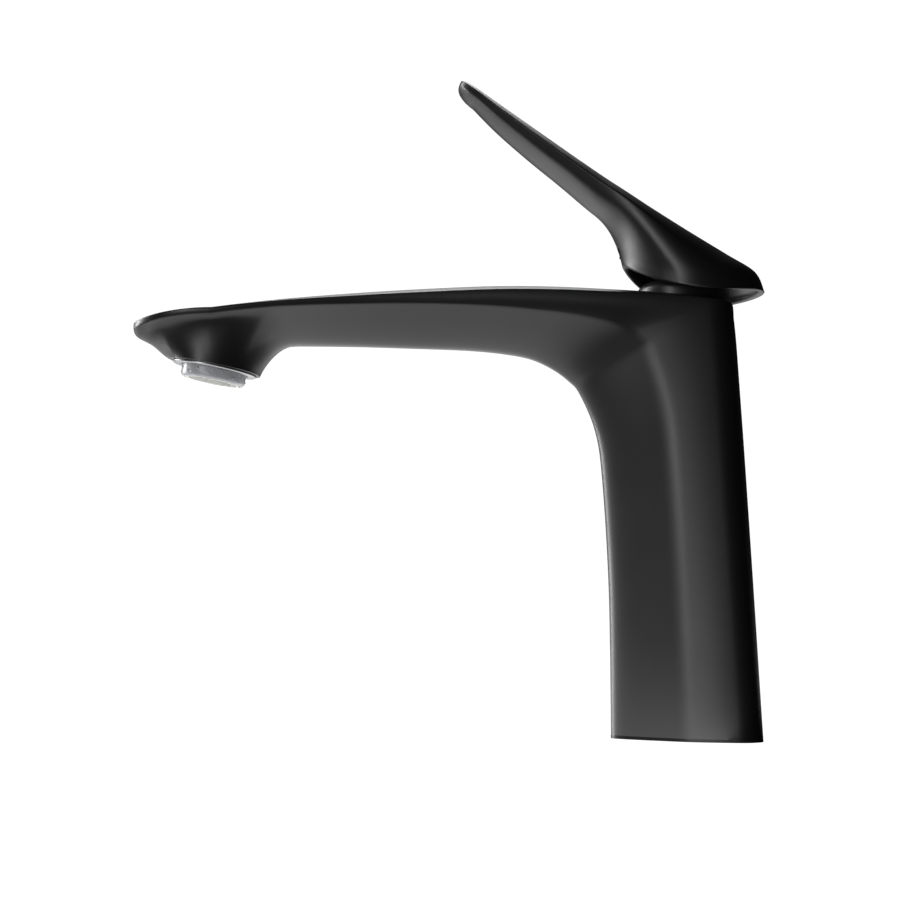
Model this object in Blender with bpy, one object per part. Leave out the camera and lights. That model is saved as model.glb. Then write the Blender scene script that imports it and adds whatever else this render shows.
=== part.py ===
"""Single-lever basin mixer with a leaf-shaped spout.

Frame: metres, +Z up, the deck is the plane z = 0, the spout points along -Y
and x = 0 is the mirror plane.  Every piece is its own object.
"""
import math

import bmesh
import bpy
from mathutils import Matrix, Vector

MM = 0.001
GAP = 0.3 * MM                       # clearance between neighbouring pieces
ROUND = 28                           # sides of a large round piece
SMALL_ROUND = 16                     # sides of a small round piece

# Column, bend and spout.  A station is a line across the side view, from the inner
# outline (front of the column, underside of the spout) over the crease to the outer
# edge (back of the column, top edge of the spout).  Values are (y, z) in millimetres.
INNER_LINE = [(-25.3, 0), (-25.9, 48), (-28.1, 86), (-30.5, 101.7), (-35.5, 113.6),
              (-38.9, 117.6), (-44.1, 121.5), (-51.2, 124.9), (-60, 126.7), (-72, 127.9),
              (-90, 128.6), (-110, 129.2), (-131, 129.4), (-146, 129.2), (-155, 128.7)]
CREASE_LINE = [(-3.1, 0), (-5.4, 48), (-7.7, 88), (-9.6, 108), (-13.6, 124.2),
               (-17.2, 129.9), (-23.5, 133.9), (-36.1, 136.9), (-51, 138.9), (-68, 140.4),
               (-89, 141.1), (-110, 140.8), (-131, 139.9), (-146, 138.4), (-155, 137.3)]
EDGE_LINE = [(22.5, 0), (19.6, 48), (17.0, 90), (15.5, 113), (14.3, 131),
             (13.3, 141.3), (-4, 142.9), (-25, 144.2), (-45, 145.2), (-65, 145.4),
             (-88, 144.6), (-110, 143.4), (-131, 141.9), (-146, 140.4), (-155, 139.3)]
CREASE_HALF_WIDTH = [19.0, 18.8, 18.5, 18.3, 18.0, 18.0, 18.0, 18.0, 17.8, 17.4,
                     17.0, 17.3, 18.6, 19.7, 20.0]
EDGE_HALF_WIDTH = [24.2, 23.8, 23.2, 22.8, 22.5, 22.4, 22.2, 21.6, 20.4, 19.2,
                   18.0, 18.0, 19.2, 20.3, 20.6]
CROWN = [0.8, 0.8, 0.8, 0.8, 0.8, 1.6, 2.8, 3.2, 3.3, 3.3, 3.2, 3.0, 2.6, 2.2, 2.0]
CORNER_STATION = 5                   # the station at the top rear corner
BACK_CORNER_RADIUS = 8.5             # vertical corners of the column, millimetres
TOP_CORNER_RADIUS = 2.0              # where the back turns into the top
TIP_LENGTH = 27.9                    # rounded end of the spout, beyond the last station
TIP_CREASE_DROP = 2.6                # fall of the crease along the rounded end
TIP_EDGE_DROP = 2.9                  # fall of the top edge along the rounded end
NECK_SWELL = 3.4                     # fall of the underside towards the mouth's front
NECK_SWELL_REACH = 12.5
NECK_SWELL_WIDTH = 6.5

# Mouth of the spout
MOUTH_CENTRE = Vector((0, -156.1, 122.3)) * MM
MOUTH_TILT = math.radians(-11.0)     # the jet leans away from the column
NECK_RADIUS = 15.2 * MM
MOUTH_BORE_RADIUS = 12.6 * MM
MOUTH_BORE_DEPTH = 8.2 * MM

SWIVEL_CENTRE = 0.3 * MM             # height of the nozzle's ball above the mouth plane
NOZZLE_RADIUS = 10.7 * MM
OUTLET_BORE_RADIUS = 5.0 * MM        # passage behind the aerator

# Waterways in the body
CHANNEL_RADIUS = 4.0 * MM            # along the spout
RISING_RADIUS = 3.5 * MM             # from the cartridge up to the spout
OUTLET_POCKET_RADIUS = 3.2 * MM
SUPPLY_BORE_RADIUS = 2.5 * MM        # from each inlet up to the cartridge

# Cartridge and everything on its axis
AXIS_Y = -1.0 * MM
SEAT_Z = 112 * MM                    # floor of the cartridge bore
SPOT_FACE_Z = 142.0 * MM             # flat under the dome cap
BORE_RADIUS = 13.3 * MM
THREAD_RADIUS = 14.3 * MM
DOME_RADIUS = 15.2 * MM
PIVOT = Vector((0, -1.0, 137.5)) * MM
LEVER_TILT = math.radians(-8.4)      # how far the lever is lifted as modelled
STEM_REACH = 11.0 * MM               # pivot to the ball that drives the disc
CARRIER_SHIFT = STEM_REACH * math.sin(LEVER_TILT)
PORT_X = 6.2 * MM
PORT_Y = 4.0 * MM
OUTLET_PORT_Y = -6.5 * MM
PORTS = {"hot": (-PORT_X, PORT_Y), "cold": (PORT_X, PORT_Y), "outlet": (0, OUTLET_PORT_Y)}
PORT_RADIUS = 2.0 * MM
CARTRIDGE_RADIUS = 12.9 * MM
BASE_BOTTOM = SEAT_Z + GAP
BASE_TOP = 118.0 * MM
FIXED_BOTTOM = 116.6 * MM
FIXED_TOP = 119.8 * MM
MOVING_BOTTOM = FIXED_TOP + GAP
MOVING_TOP = 122.9 * MM
CARRIER_BOTTOM = MOVING_TOP + GAP
CARRIER_TOP = 129.0 * MM
TURRET_BOTTOM = 129.6 * MM
TURRET_TOP = 142.5 * MM
TURRET_RADIUS = 9.2 * MM
DISC_RADIUS = 10.2 * MM
SLIDER_RADIUS = 7.6 * MM             # moving disc and its carrier
PIN_RADIUS = 1.5 * MM
NUT_BOTTOM = 135.9 * MM

# Deck side
INLET_Y = 5.0 * MM
INLET_RADIUS = 5.0 * MM
STUD_Y = -7.0 * MM
STUD_RADIUS = 3.4 * MM
GASKET_Y = 3.0 * MM
GASKET_RADIUS = 16.0 * MM

# Lever: (y, z) of its under line and of its crowned top line, in millimetres
LEVER_UNDER = [(-70.9, 208.9), (-63.2, 201.1), (-52.7, 191.9), (-42.1, 183.3),
               (-33.3, 175.8), (-29.0, 172.3), (-26.2, 169.0), (-24.0, 165.0),
               (-22.5, 161.0), (-21.7, 158.2), (-21.3, 156.6)]
LEVER_TOP = [(-67.2, 213.3), (-57.7, 206.5), (-47.1, 199.0), (-36.7, 191.6),
             (-27.0, 184.9), (-19.5, 179.9), (-11.0, 174.2), (0.5, 166.9),
             (13.5, 159.0), (22.6, 153.3), (25.6, 146.9)]
LEVER_HALF_WIDTH = [9.6, 11.4, 12.9, 14.1, 15.2, 16.3, 17.8, 19.8, 21.6, 22.8, 23.4]
LEVER_TO_CUP = [0, 0, 0, 0, 0.04, 0.14, 0.32, 0.58, 0.82, 0.95, 1.0]
LEVER_TIP_LENGTH = 8.0               # rounded end of the lever
LEVER_TIP_BLUNTNESS = 0.6            # 1 is an ellipse, less is squarer
CUP_SAG = 6.0                        # how far the cup's rim bows down at its sides
CUP_FRONT_TAPER = 0.42               # how much narrower the cup's front is than its back
# Hollow of the cup: (y, z) of each ellipse's centre, its half sizes and its slope
CUP_HOLLOW = [((4.2, 138.0), (18.2, 20.4), -8), ((3.9, 146.0), (18.2, 20.2), -9),
              ((2.6, 152.0), (16.6, 19.3), -14), ((-0.2, 157.0), (14.2, 17.4), -14),
              ((-2.4, 160.6), (12.4, 13.8), -22)]
SPINDLE_HALF = 3.4 * MM
SPINDLE_TOP = 23.0 * MM              # end of the stem above the pivot
BOSS_BOTTOM = 17.0 * MM              # above the pivot, clear of the dome
BOSS_TOP = 24.6 * MM
BOSS_RADIUS = 6.4 * MM
SCREW_HEIGHT = 19.6 * MM             # above the pivot
SCREW_RADIUS = 2.0 * MM
SCREW_LENGTH = 4.7 * MM
PLUG_START = 20.9 * MM
PLUG_END = 24.0 * MM

# Fineness of the skinned shapes
NOSE_STEPS = 6
FLANK_STEPS = 9
FACE_STEPS = 4
LEVER_SIDE_STEPS = 5
LEVER_BAND_STEPS = 3
TIP_STEPS = 6
LEVER_TIP_STEPS = 5


# ---------------------------------------------------------------- general shapes

def material(name, colour, roughness, metallic=0.0):
    """A Principled material with one colour."""
    mat = bpy.data.materials.new(name)
    mat.use_nodes = True
    shader = mat.node_tree.nodes["Principled BSDF"]
    shader.inputs["Base Color"].default_value = (*colour, 1)
    shader.inputs["Roughness"].default_value = roughness
    shader.inputs["Metallic"].default_value = metallic
    mat.diffuse_color = (*colour, 1)
    return mat


def finish_mesh(name, bm, mat):
    """Turn a bmesh into a shaded object with outward faces."""
    bmesh.ops.recalc_face_normals(bm, faces=bm.faces)
    mesh = bpy.data.meshes.new(name)
    bm.to_mesh(mesh)
    bm.free()
    mesh.shade_smooth()
    mesh.set_sharp_from_angle(angle=math.radians(35))
    mesh.materials.append(mat)
    piece = bpy.data.objects.new(name, mesh)
    bpy.context.scene.collection.objects.link(piece)
    return piece


def turned(name, profile, mat, sides=ROUND):
    """Turn a closed outline of (radius, height) about Z; radius 0 caps it on the axis."""
    bm = bmesh.new()
    turn = [math.tau * i / sides for i in range(sides)]
    rings = [[bm.verts.new((radius * math.cos(a), radius * math.sin(a), height)) for a in turn]
             for radius, height in profile if radius > 0]
    capped = len(rings) < len(profile)
    for low, high in zip(rings, rings[1:] if capped else rings[1:] + rings[:1]):
        for i in range(sides):
            j = (i + 1) % sides
            bm.faces.new((low[i], low[j], high[j], high[i]))
    if capped:
        bm.faces.new(rings[0])
        bm.faces.new(rings[-1])
    return finish_mesh(name, bm, mat)


def box(name, size, centre, mat):
    """A rectangular block."""
    bm = bmesh.new()
    bmesh.ops.create_cube(bm, size=1)
    bmesh.ops.scale(bm, vec=size, verts=bm.verts)
    bmesh.ops.translate(bm, vec=centre, verts=bm.verts)
    return finish_mesh(name, bm, mat)


def rod(name, start, end, radius, mat, sides=SMALL_ROUND):
    """A round bar between two points."""
    bm = bmesh.new()
    start, end = Vector(start), Vector(end)
    length = (end - start).length
    bmesh.ops.create_cone(bm, cap_ends=True, segments=sides, radius1=radius,
                          radius2=radius, depth=length)
    turn = (end - start).to_track_quat('Z', 'Y').to_matrix().to_4x4()
    bmesh.ops.transform(bm, matrix=Matrix.Translation((start + end) / 2) @ turn,
                        verts=bm.verts)
    return finish_mesh(name, bm, mat)


def lofted(name, sections, mat):
    """Skin a row of closed sections that all have the same number of points."""
    bm = bmesh.new()
    loops = [[bm.verts.new(point) for point in section] for section in sections]
    for low, high in zip(loops, loops[1:]):
        for i in range(len(low)):
            j = (i + 1) % len(low)
            bm.faces.new((low[i], low[j], high[j], high[i]))
    bm.faces.new(loops[0])
    bm.faces.new(loops[-1])
    return finish_mesh(name, bm, mat)


def boolean(target, tool, operation):
    """Cut or join a hidden tool object into a piece."""
    tool.hide_render = True
    tool.display_type = 'WIRE'
    step = target.modifiers.new(tool.name, 'BOOLEAN')
    step.operation = operation
    step.object = tool
    step.solver = 'EXACT'


def cut(target, tool):
    boolean(target, tool, 'DIFFERENCE')


def add(target, tool):
    boolean(target, tool, 'UNION')


def along(values, place):
    """Read a smooth curve through evenly numbered values (numbers or pairs)."""
    last = len(values) - 1
    first = min(int(place), last - 1)
    t = place - first
    p0 = values[max(first - 1, 0)]
    p1 = values[first]
    p2 = values[first + 1]
    p3 = values[min(first + 2, last)]

    def hermite(a, b, c, d):
        out_slope = (c - a) / 2
        in_slope = (d - b) / 2
        return ((2 * t ** 3 - 3 * t ** 2 + 1) * b + (t ** 3 - 2 * t ** 2 + t) * out_slope
                + (3 * t ** 2 - 2 * t ** 3) * c + (t ** 3 - t ** 2) * in_slope)

    if isinstance(p1, (int, float)):
        return hermite(p0, p1, p2, p3)
    return tuple(hermite(*axis) for axis in zip(p0, p1, p2, p3))


def bezier(points, t):
    """Point on a cubic curve with four control points."""
    a, b, c, d = points
    weights = ((1 - t) ** 3, 3 * t * (1 - t) ** 2, 3 * t ** 2 * (1 - t), t ** 3)
    return tuple(sum(w * p[i] for w, p in zip(weights, (a, b, c, d))) for i in range(2))


def place(piece, location, tilt=0.0):
    """Put a piece in its place, tilted about X."""
    piece.location = location
    piece.rotation_euler = (tilt, 0, 0)
    return piece


# ---------------------------------------------------------------- body casting


def outer_edge(station):
    """Side-view point of the outer edge, rounded at the top rear corner."""
    spread = 0.5
    before = CORNER_STATION - spread
    after = CORNER_STATION + spread
    y_corner, z_corner = EDGE_LINE[CORNER_STATION]
    if station <= CORNER_STATION:
        reach = min(station, before) * CORNER_STATION / before
        y, z = along(EDGE_LINE[:CORNER_STATION + 1], reach)
        z -= TOP_CORNER_RADIUS * min(reach / CORNER_STATION, 1) ** 4
    else:
        top = EDGE_LINE[CORNER_STATION:]
        span = len(top) - 1
        reach = max(station - after, 0) * span / (span - spread)
        y, z = along(top, reach)
        y -= TOP_CORNER_RADIUS * max(1 - reach, 0)
    if before < station < after:
        angle = (station - before) / (2 * spread) * math.pi / 2
        y = y_corner - TOP_CORNER_RADIUS * (1 - math.cos(angle))
        z = z_corner - TOP_CORNER_RADIUS * (1 - math.sin(angle))
    return y, z


def facing(station):
    """Outward direction of the outer face: back of the column, then its top."""
    turn = min(max(station - CORNER_STATION + 0.5, 0), 1)
    return math.cos(turn * math.pi / 2), math.sin(turn * math.pi / 2)


def back_corner(half_width, y, z):
    """Narrow the flank where it turns round the column's vertical back corner."""
    base_y, top = EDGE_LINE[0][0], EDGE_LINE[CORNER_STATION]
    back_y = base_y + (top[0] - base_y) * z / top[1]
    depth = min(max(back_y - y, 0), BACK_CORNER_RADIUS)
    side = BACK_CORNER_RADIUS - depth
    return half_width - BACK_CORNER_RADIUS + math.sqrt(BACK_CORNER_RADIUS ** 2 - side ** 2)


def half_section(inner, crease, edge, crease_width, edge_width, crown, face):
    """Points (x, y, z) from the inner centre line over the edge to the outer one."""
    points = []
    nose = [(0, 0), (0.24, 0), (0.62, 0.56), (1, 1)]
    for i in range(NOSE_STEPS):
        across, forward = bezier(nose, i / NOSE_STEPS)
        points.append((across * crease_width,
                       inner[0] + forward * (crease[0] - inner[0]),
                       inner[1] + forward * (crease[1] - inner[1])))
    for i in range(FLANK_STEPS + 1):
        t = i / FLANK_STEPS
        y = crease[0] + t * (edge[0] - crease[0])
        z = crease[1] + t * (edge[1] - crease[1])
        swell = crease_width + (edge_width - crease_width) * (1 - (1 - t) ** 2)
        points.append((back_corner(swell, y, z), y, z))
    edge_x = points[-1][0]
    for i in range(1, FACE_STEPS + 1):
        t = i / FACE_STEPS
        rise = crown * (1 - (1 - t) ** 2)
        points.append((edge_x * (1 - t), edge[0] + rise * face[0], edge[1] + rise * face[1]))
    return points


def whole_section(half):
    """Mirror a half section and join the halves on the mirror plane."""
    right = [Vector(point) * MM for point in half]
    left = [Vector((-p.x, p.y, p.z)) for p in reversed(right[1:-1])]
    return right + left


def spout_stations():
    """Stations from the deck to the rounded end of the spout."""
    last = len(INNER_LINE) - 1
    column = [0, 1, 2, 2.6, 3.2, 3.8, 4.2]
    corner = [4.5, 4.7, 4.85, 5, 5.15, 5.3, 5.5]
    spout = [5.8] + [6 + 0.5 * i for i in range(2 * (last - 6) + 1)]
    return column + corner + spout


def make_body(mat):
    sections = []
    last = len(INNER_LINE) - 1
    for station in spout_stations():
        sections.append(whole_section(half_section(
            along(INNER_LINE, station), along(CREASE_LINE, station), outer_edge(station),
            along(CREASE_HALF_WIDTH, station), along(EDGE_HALF_WIDTH, station),
            along(CROWN, station), facing(station))))
    for i in range(1, TIP_STEPS + 1):
        angle = math.radians(86) * i / TIP_STEPS
        reach, shrink = TIP_LENGTH * math.sin(angle), math.cos(angle)
        bend = math.sin(angle) ** 2
        crease = (CREASE_LINE[last][0] - reach, CREASE_LINE[last][1] - TIP_CREASE_DROP * bend)
        edge = (EDGE_LINE[last][0] - reach, EDGE_LINE[last][1] - TIP_EDGE_DROP * bend)
        depth = CREASE_LINE[last][1] - INNER_LINE[last][1]
        swelling = NECK_SWELL * math.exp(-((reach - NECK_SWELL_REACH) / NECK_SWELL_WIDTH) ** 2)
        inner = (INNER_LINE[last][0] - reach, crease[1] - (depth + swelling) * shrink)
        sections.append(whole_section(half_section(
            inner, crease, edge, CREASE_HALF_WIDTH[last] * shrink,
            EDGE_HALF_WIDTH[last] * shrink, CROWN[last] * shrink ** 2, (0, 1))))
    body = lofted("body_casting", sections, mat)
    body.data.set_sharp_from_angle(angle=math.radians(25))

    # neck that carries the mouth, flaring up into the underside
    flare = [(0, 0), (NECK_RADIUS, 0), (NECK_RADIUS, 3.5 * MM), (15.5 * MM, 6.2 * MM),
             (16.4 * MM, 8.6 * MM), (17.2 * MM, 10.2 * MM), (17.2 * MM, 11.6 * MM),
             (0, 11.6 * MM)]
    add(body, place(turned("neck_tool", flare, mat), MOUTH_CENTRE, MOUTH_TILT))

    # waterways: outlet pocket, rising leg, spout leg
    cut(body, rod("spout_leg_tool", (0, -155 * MM, 133.8 * MM), (0, -37 * MM, 138 * MM),
                  CHANNEL_RADIUS, mat))
    cut(body, rod("rising_leg_tool", (0, -7 * MM, 96 * MM), (0, -45 * MM, 134 * MM),
                  RISING_RADIUS, mat))
    cut(body, rod("outlet_pocket_tool", (0, AXIS_Y + OUTLET_PORT_Y, SEAT_Z + MM),
                  (0, AXIS_Y + OUTLET_PORT_Y, 95 * MM), OUTLET_POCKET_RADIUS, mat))
    for side in (-1, 1):
        label = "hot" if side < 0 else "cold"
        cut(body, rod(label + "_pocket_tool", (side * PORT_X, INLET_Y, -MM),
                      (side * PORT_X, INLET_Y, 22 * MM), INLET_RADIUS, mat))
        cut(body, rod(label + "_bore_tool", (side * PORT_X, INLET_Y, 20 * MM),
                      (side * PORT_X, AXIS_Y + PORT_Y, SEAT_Z + MM),
                      SUPPLY_BORE_RADIUS, mat, 12))

    # cartridge bore, thread relief and spot face
    bore = [(0, SEAT_Z), (BORE_RADIUS, SEAT_Z), (BORE_RADIUS, 135 * MM),
            (THREAD_RADIUS, 135 * MM), (THREAD_RADIUS, SPOT_FACE_Z),
            (DOME_RADIUS + GAP, SPOT_FACE_Z), (DOME_RADIUS + GAP, 155 * MM), (0, 155 * MM)]
    cut(body, place(turned("bore_tool", bore, mat), (0, AXIS_Y, 0)))

    # deck face: tapped hole for the stud and the gasket groove
    cut(body, rod("stud_tool", (0, STUD_Y, -MM), (0, STUD_Y, 25 * MM), STUD_RADIUS, mat))
    groove = [(GASKET_RADIUS - 1.2 * MM, -MM), (GASKET_RADIUS + 1.2 * MM, -MM),
              (GASKET_RADIUS + 1.2 * MM, 2.2 * MM), (GASKET_RADIUS - 1.2 * MM, 2.2 * MM)]
    cut(body, place(turned("groove_tool", groove, mat), (0, GASKET_Y, 0)))

    # bore for the aerator, with a smaller passage behind it
    mouth = [(0, -2 * MM), (MOUTH_BORE_RADIUS, -2 * MM), (MOUTH_BORE_RADIUS, MOUTH_BORE_DEPTH),
             (OUTLET_BORE_RADIUS, MOUTH_BORE_DEPTH), (OUTLET_BORE_RADIUS, 11.5 * MM),
             (0, 11.5 * MM)]
    cut(body, place(turned("mouth_tool", mouth, mat), MOUTH_CENTRE, MOUTH_TILT))
    return body


def make_gasket(mat):
    half = 0.9 * MM
    ring = [(GASKET_RADIUS - half, 0), (GASKET_RADIUS + half, 0),
            (GASKET_RADIUS + half, 1.7 * MM), (GASKET_RADIUS - half, 1.7 * MM)]
    return place(turned("deck_gasket", ring, mat), (0, GASKET_Y, 0))


# ---------------------------------------------------------------- cartridge


def make_cartridge_base(mat):
    profile = [(0, BASE_BOTTOM), (CARTRIDGE_RADIUS, BASE_BOTTOM), (CARTRIDGE_RADIUS, BASE_TOP),
               (10.6 * MM, BASE_TOP), (10.6 * MM, FIXED_BOTTOM - GAP),
               (0, FIXED_BOTTOM - GAP)]
    base = place(turned("cartridge_base", profile, mat), (0, AXIS_Y, 0))
    for label, (x, y) in PORTS.items():
        low = (x, AXIS_Y + y, BASE_BOTTOM - MM)
        cut(base, rod("base_port_" + label, low, (x, AXIS_Y + y, BASE_TOP), PORT_RADIUS, mat, 12))
        cut(base, rod("seal_pocket_" + label, low, (x, AXIS_Y + y, BASE_BOTTOM + 1.7 * MM),
                      3.6 * MM, mat))
    return base


def make_port_seals(mat):
    seals = []
    for label, (x, y) in PORTS.items():
        profile = [(2.1 * MM, 0), (3.3 * MM, 0), (3.3 * MM, 1.4 * MM), (2.1 * MM, 1.4 * MM)]
        seal = turned(label + "_port_seal", profile, mat, SMALL_ROUND)
        seals.append(place(seal, (x, AXIS_Y + y, SEAT_Z + GAP)))
    return seals


def make_fixed_disc(mat):
    profile = [(0, FIXED_BOTTOM), (DISC_RADIUS, FIXED_BOTTOM), (DISC_RADIUS, FIXED_TOP),
               (0, FIXED_TOP)]
    disc = place(turned("fixed_ceramic_disc", profile, mat), (0, AXIS_Y, 0))
    for label, (x, y) in PORTS.items():
        cut(disc, rod("disc_port_" + label, (x, AXIS_Y + y, FIXED_BOTTOM - MM),
                      (x, AXIS_Y + y, FIXED_TOP + MM), PORT_RADIUS, mat, 12))
    return disc


def carrier_centre():
    """The disc and its carrier sit off the axis so that their stroke is centred."""
    return AXIS_Y + CARRIER_SHIFT + 2.2 * MM


def make_moving_disc(mat):
    profile = [(0, MOVING_BOTTOM + 1.4 * MM), (5.4 * MM, MOVING_BOTTOM + 1.4 * MM),
               (5.4 * MM, MOVING_BOTTOM), (SLIDER_RADIUS, MOVING_BOTTOM), (SLIDER_RADIUS, MOVING_TOP),
               (0, MOVING_TOP)]
    return place(turned("moving_ceramic_disc", profile, mat), (0, carrier_centre(), 0))


def make_carrier(mat):
    profile = [(0, CARRIER_BOTTOM), (SLIDER_RADIUS, CARRIER_BOTTOM), (SLIDER_RADIUS, CARRIER_TOP),
               (0, CARRIER_TOP)]
    carrier = place(turned("disc_carrier", profile, mat), (0, carrier_centre(), 0))
    socket = (0, AXIS_Y + CARRIER_SHIFT, CARRIER_TOP)
    slot = box("carrier_slot_tool", (6.2 * MM, 6.0 * MM, 10.6 * MM), (0, 0, 0), mat)
    cut(carrier, place(slot, socket))
    return carrier


def make_housing(mat):
    profile = [(CARTRIDGE_RADIUS, BASE_TOP + GAP), (CARTRIDGE_RADIUS, 135.6 * MM),
               (10.7 * MM, 135.6 * MM), (10.7 * MM, 141.0 * MM), (TURRET_RADIUS + GAP, 141.0 * MM),
               (TURRET_RADIUS + GAP, CARRIER_TOP + 0.3 * MM), (11.4 * MM, 128.6 * MM),
               (11.4 * MM, BASE_TOP + GAP)]
    return place(turned("cartridge_housing", profile, mat), (0, AXIS_Y, 0))


def make_turret(mat):
    profile = [(0, TURRET_BOTTOM), (TURRET_RADIUS, TURRET_BOTTOM), (TURRET_RADIUS, TURRET_TOP),
               (0, TURRET_TOP)]
    turret = place(turned("turret", profile, mat), (0, AXIS_Y, 0))
    slot = box("turret_slot_tool", (8.4 * MM, 14.6 * MM, 30 * MM), (0, 0, 0), mat)
    cut(turret, place(slot, (0, AXIS_Y, 136 * MM)))
    cut(turret, rod("turret_pin_tool", PIVOT - Vector((20, 0, 0)) * MM,
                    PIVOT + Vector((20, 0, 0)) * MM, PIN_RADIUS + GAP, mat, 12))
    return turret


def make_pin(mat):
    reach = Vector((8.7, 0, 0)) * MM
    return rod("lever_pin", PIVOT - reach, PIVOT + reach, PIN_RADIUS, mat, 12)


def make_spindle(mat):
    """Square stem on the pin, with a ball below that drives the disc carrier."""
    low = -4.5 * MM
    stem = box("spindle", (2 * SPINDLE_HALF, 2 * SPINDLE_HALF, SPINDLE_TOP - low),
               (0, 0, (SPINDLE_TOP + low) / 2), mat)
    ball = [(0, -STEM_REACH - 2.5 * MM), (1.8 * MM, -STEM_REACH - 1.8 * MM),
            (2.6 * MM, -STEM_REACH), (2.2 * MM, -STEM_REACH + 1.5 * MM),
            (2.2 * MM, -3.5 * MM), (0, -3.5 * MM)]
    add(stem, place(turned("spindle_ball_tool", ball, mat, 12), PIVOT, LEVER_TILT))
    cut(stem, rod("spindle_pin_tool", PIVOT - Vector((9, 0, 0)) * MM,
                  PIVOT + Vector((9, 0, 0)) * MM, PIN_RADIUS + GAP, mat, 12))
    return place(stem, PIVOT, LEVER_TILT)


def make_retaining_nut(mat):
    profile = [(11.0 * MM, NUT_BOTTOM), (14.0 * MM, NUT_BOTTOM), (14.0 * MM, 142.2 * MM),
               (13.2 * MM, 142.2 * MM), (13.2 * MM, 145.6 * MM), (11.0 * MM, 145.6 * MM)]
    return place(turned("retaining_nut", profile, mat), (0, AXIS_Y, 0))


def make_limit_ring(mat):
    """Stop ring on the housing's neck that limits the hot side."""
    profile = [(9.6 * MM, 141.4 * MM), (10.7 * MM, 141.4 * MM), (10.7 * MM, 142.8 * MM),
               (9.6 * MM, 142.8 * MM)]
    return place(turned("temperature_limit_ring", profile, mat), (0, AXIS_Y, 0))


def make_dome_cap(mat):
    """Thin domed trim over the nut, open in the middle for the lever's stem."""
    low = SPOT_FACE_Z + GAP
    profile = [(13.8 * MM, low), (DOME_RADIUS, low), (DOME_RADIUS, 147.3 * MM),
               (14.6 * MM, 148.5 * MM), (13.3 * MM, 149.5 * MM), (11.6 * MM, 150.2 * MM),
               (9.6 * MM, 150.6 * MM), (9.6 * MM, 149.4 * MM), (11.4 * MM, 149.0 * MM),
               (13.0 * MM, 148.0 * MM), (13.8 * MM, 146.8 * MM)]
    return place(turned("dome_cap", profile, mat), (0, AXIS_Y, 0))


# ---------------------------------------------------------------- lever


def lever_half_section(under, top, half_width, cup):
    """Blend from the lever's blade (cup = 0) to the round rim of its cup (cup = 1)."""
    blade = []
    for i in range(LEVER_SIDE_STEPS):                    # underside to the lower crease
        t = i / LEVER_SIDE_STEPS
        blade.append((0.86 * t, 0.30 * t ** 2))
    for i in range(LEVER_BAND_STEPS):                    # side band
        t = i / LEVER_BAND_STEPS
        blade.append((0.86 + 0.14 * t, 0.30 + 0.29 * t))
    for i in range(LEVER_SIDE_STEPS + 1):                # crowned top
        t = i / LEVER_SIDE_STEPS
        blade.append((1 - t, 0.59 + 0.41 * (1 - (1 - t) ** 2)))
    count = len(blade)
    points = []
    length = math.hypot(top[0] - under[0], top[1] - under[1])
    normal = ((top[1] - under[1]) / length, -(top[0] - under[0]) / length)
    for i, (across, up) in enumerate(blade):
        angle = math.pi * i / (count - 1)
        ring_up = (1 - math.cos(angle)) / 2
        ring_across = math.sin(angle) * (1 - CUP_FRONT_TAPER * (1 - ring_up) ** 3)
        across += cup * (ring_across - across)
        up += cup * (ring_up - up)
        sag = -CUP_SAG * cup ** 2 * math.sin(math.pi * max(up, 0) ** 0.8)
        sign = 1 if normal[1] > 0 else -1
        points.append((across * half_width,
                       under[0] + up * (top[0] - under[0]) + sign * sag * normal[0],
                       under[1] + up * (top[1] - under[1]) + sign * sag * normal[1]))
    return points


def make_lever(mat):
    sections = []
    tip_under, tip_top = Vector(LEVER_UNDER[0]), Vector(LEVER_TOP[0])
    middle = tip_under * 0.15 + tip_top * 0.85
    forward = Vector(LEVER_TOP[0]) - Vector(LEVER_TOP[1])
    forward.normalize()
    for i in range(LEVER_TIP_STEPS, 0, -1):              # rounded end
        angle = math.radians(84) * i / LEVER_TIP_STEPS
        reach = forward * LEVER_TIP_LENGTH * math.sin(angle)
        shrink = math.cos(angle) ** LEVER_TIP_BLUNTNESS
        under = middle + (tip_under - middle) * shrink + reach
        top = middle + (tip_top - middle) * shrink + reach
        sections.append(whole_section(lever_half_section(
            under, top, LEVER_HALF_WIDTH[0] * shrink, 0)))
    last = len(LEVER_UNDER) - 1
    for i in range(2 * last + 1):
        station = i / 2
        sections.append(whole_section(lever_half_section(
            along(LEVER_UNDER, station), along(LEVER_TOP, station),
            along(LEVER_HALF_WIDTH, station), along(LEVER_TO_CUP, station))))
    lever = lofted("lever_handle", sections, mat)
    lever.data.set_sharp_from_angle(angle=math.radians(25))

    # hollow cup: a row of ellipses from below the rim up to a sloping roof
    hollow = []
    for centre, (across, ahead), slope in CUP_HOLLOW:
        lean = math.radians(slope)
        hollow.append([Vector((across * math.cos(a),
                               centre[0] + ahead * math.sin(a) * math.cos(lean),
                               centre[1] + ahead * math.sin(a) * math.sin(lean))) * MM
                       for a in (math.tau * i / ROUND for i in range(ROUND))])
    cut(lever, lofted("cup_hollow_tool", hollow, mat))

    # boss with a square socket for the spindle, and the set screw's hole
    boss = [(0, BOSS_BOTTOM), (BOSS_RADIUS, BOSS_BOTTOM), (BOSS_RADIUS, BOSS_TOP),
            (0, BOSS_TOP)]
    add(lever, place(turned("boss_tool", boss, mat, SMALL_ROUND), PIVOT, LEVER_TILT))
    wide = 2 * (SPINDLE_HALF + GAP)
    socket = box("socket_tool", (wide, wide, 16 * MM), (0, 0, SPINDLE_TOP + GAP - 8 * MM), mat)
    cut(lever, place(socket, PIVOT, LEVER_TILT))
    cut(lever, lever_rod("screw_hole_tool", SPINDLE_HALF, 40 * MM, SCREW_RADIUS + GAP, mat))
    return lever


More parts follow.
